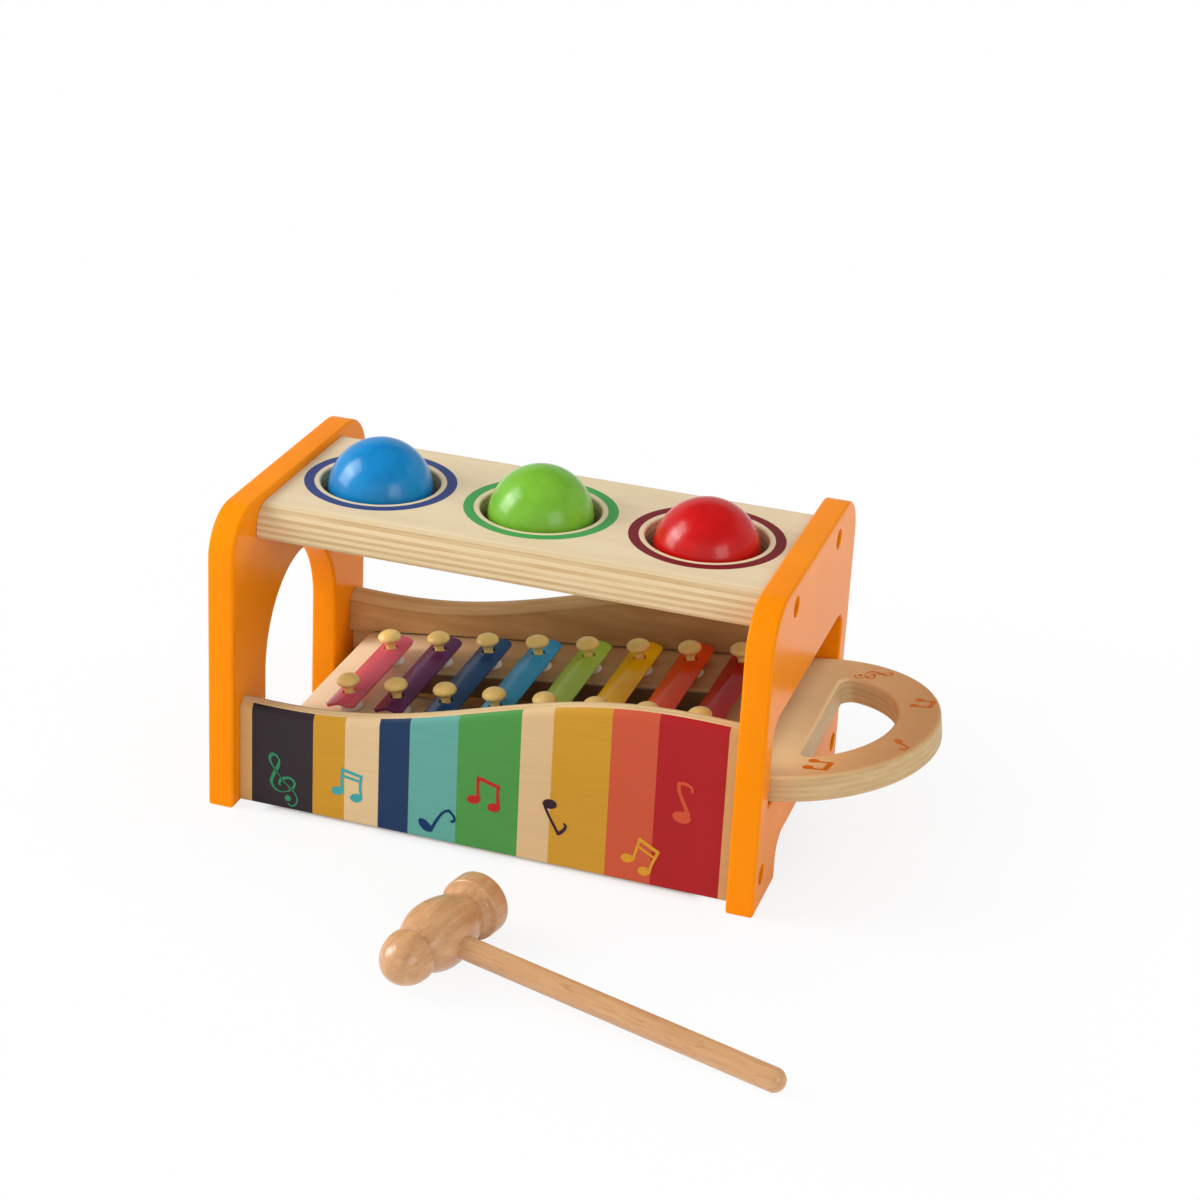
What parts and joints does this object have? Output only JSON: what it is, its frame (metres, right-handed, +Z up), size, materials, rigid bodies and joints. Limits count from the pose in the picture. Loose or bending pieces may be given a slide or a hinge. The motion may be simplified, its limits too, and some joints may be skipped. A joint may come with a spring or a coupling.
{
  "type": "pounding toy",
  "caption": "Wooden pounding bench: balls in a top board drop on a sliding xylophone tray and roll out of an archway; with a hammer.",
  "frame": {"origin": "on the floor, under the middle of the bounding box of the bench with its tray and the hammer in front", "axes": "+X along the bench to the tray's handle, +Y to the back, +Z up"},
  "size_m": [0.295, 0.258, 0.148],
  "materials": {
    "orange_paint": "gloss paint on wood",
    "birch_ply": "satin lacquer",
    "striped_ply": "satin print and lacquer",
    "plain_ply": "satin lacquer",
    "grip_rubber": "matte",
    "ball_blue": "gloss paint on wood",
    "ball_green": "gloss paint on wood",
    "ball_red": "gloss paint on wood",
    "key_pink": "gloss paint on steel",
    "key_purple": "gloss paint on steel",
    "key_navy": "gloss paint on steel",
    "key_sky": "gloss paint on steel",
    "key_green": "gloss paint on steel",
    "key_yellow": "gloss paint on steel",
    "key_orange": "gloss paint on steel",
    "key_crimson": "gloss paint on steel",
    "peg_plastic": "gloss",
    "spacer_rubber": "matte white",
    "screw_metal": "satin",
    "beech": "gloss lacquer"
  },
  "bodies": {
    "bench": {"left_side_panel": "orange_paint", "right_side_panel": "orange_paint", "top_board": "birch_ply", "grip_sheet": "grip_rubber", "front_panel": "striped_ply", "back_panel": "plain_ply", "screw_left_board_front": "screw_metal", "screw_right_board_front": "screw_metal", "screw_left_board_back": "screw_metal", "screw_right_board_back": "screw_metal", "screw_left_wall_front": "screw_metal", "screw_right_wall_front": "screw_metal", "screw_left_wall_back": "screw_metal", "screw_right_wall_back": "screw_metal"},
    "tray": {"tray": "birch_ply", "key_1_pink": "key_pink", "key_2_purple": "key_purple", "key_3_navy": "key_navy", "key_4_sky": "key_sky", "key_5_green": "key_green", "key_6_yellow": "key_yellow", "key_7_orange": "key_orange", "key_8_crimson": "key_crimson", "peg_back_1": "peg_plastic", "spacer_back_1": "spacer_rubber", "peg_front_1": "peg_plastic", "spacer_front_1": "spacer_rubber", "peg_back_2": "peg_plastic", "spacer_back_2": "spacer_rubber", "peg_front_2": "peg_plastic", "spacer_front_2": "spacer_rubber", "peg_back_3": "peg_plastic", "spacer_back_3": "spacer_rubber", "peg_front_3": "peg_plastic", "spacer_front_3": "spacer_rubber", "peg_back_4": "peg_plastic", "spacer_back_4": "spacer_rubber", "peg_front_4": "peg_plastic", "spacer_front_4": "spacer_rubber", "peg_back_5": "peg_plastic", "spacer_back_5": "spacer_rubber", "peg_front_5": "peg_plastic", "spacer_front_5": "spacer_rubber", "peg_back_6": "peg_plastic", "spacer_back_6": "spacer_rubber", "peg_front_6": "peg_plastic", "spacer_front_6": "spacer_rubber", "peg_back_7": "peg_plastic", "spacer_back_7": "spacer_rubber", "peg_front_7": "peg_plastic", "spacer_front_7": "spacer_rubber", "peg_back_8": "peg_plastic", "spacer_back_8": "spacer_rubber", "peg_front_8": "peg_plastic", "spacer_front_8": "spacer_rubber"},
    "ball_blue": {"ball_blue": "ball_blue"},
    "ball_green": {"ball_green": "ball_green"},
    "ball_red": {"ball_red": "ball_red"},
    "hammer": {"hammer_head": "beech", "hammer_handle": "beech"}
  },
  "joints": [
    {"name": "tray_slide", "type": "slide", "parent": "bench", "child": "tray", "axis": [0.9917, 0, 0.1288], "range_m": [-0.008, 0.225]},
    {"name": "ball_blue_drop", "type": "slide", "parent": "bench", "child": "ball_blue", "axis": [0, 0, 1], "range_m": [-0.0616, 0.06], "deforming": ["grip_sheet"]},
    {"name": "ball_green_drop", "type": "slide", "parent": "bench", "child": "ball_green", "axis": [0, 0, 1], "range_m": [-0.0522, 0.06], "deforming": ["grip_sheet"]},
    {"name": "ball_red_drop", "type": "slide", "parent": "bench", "child": "ball_red", "axis": [0, 0, 1], "range_m": [-0.0405, 0.06], "deforming": ["grip_sheet"]},
    {"name": "hammer_lift", "type": "slide", "parent": "bench", "child": "hammer", "axis": [0, 0, 1], "range_m": [0, 0.2]}
  ]
}
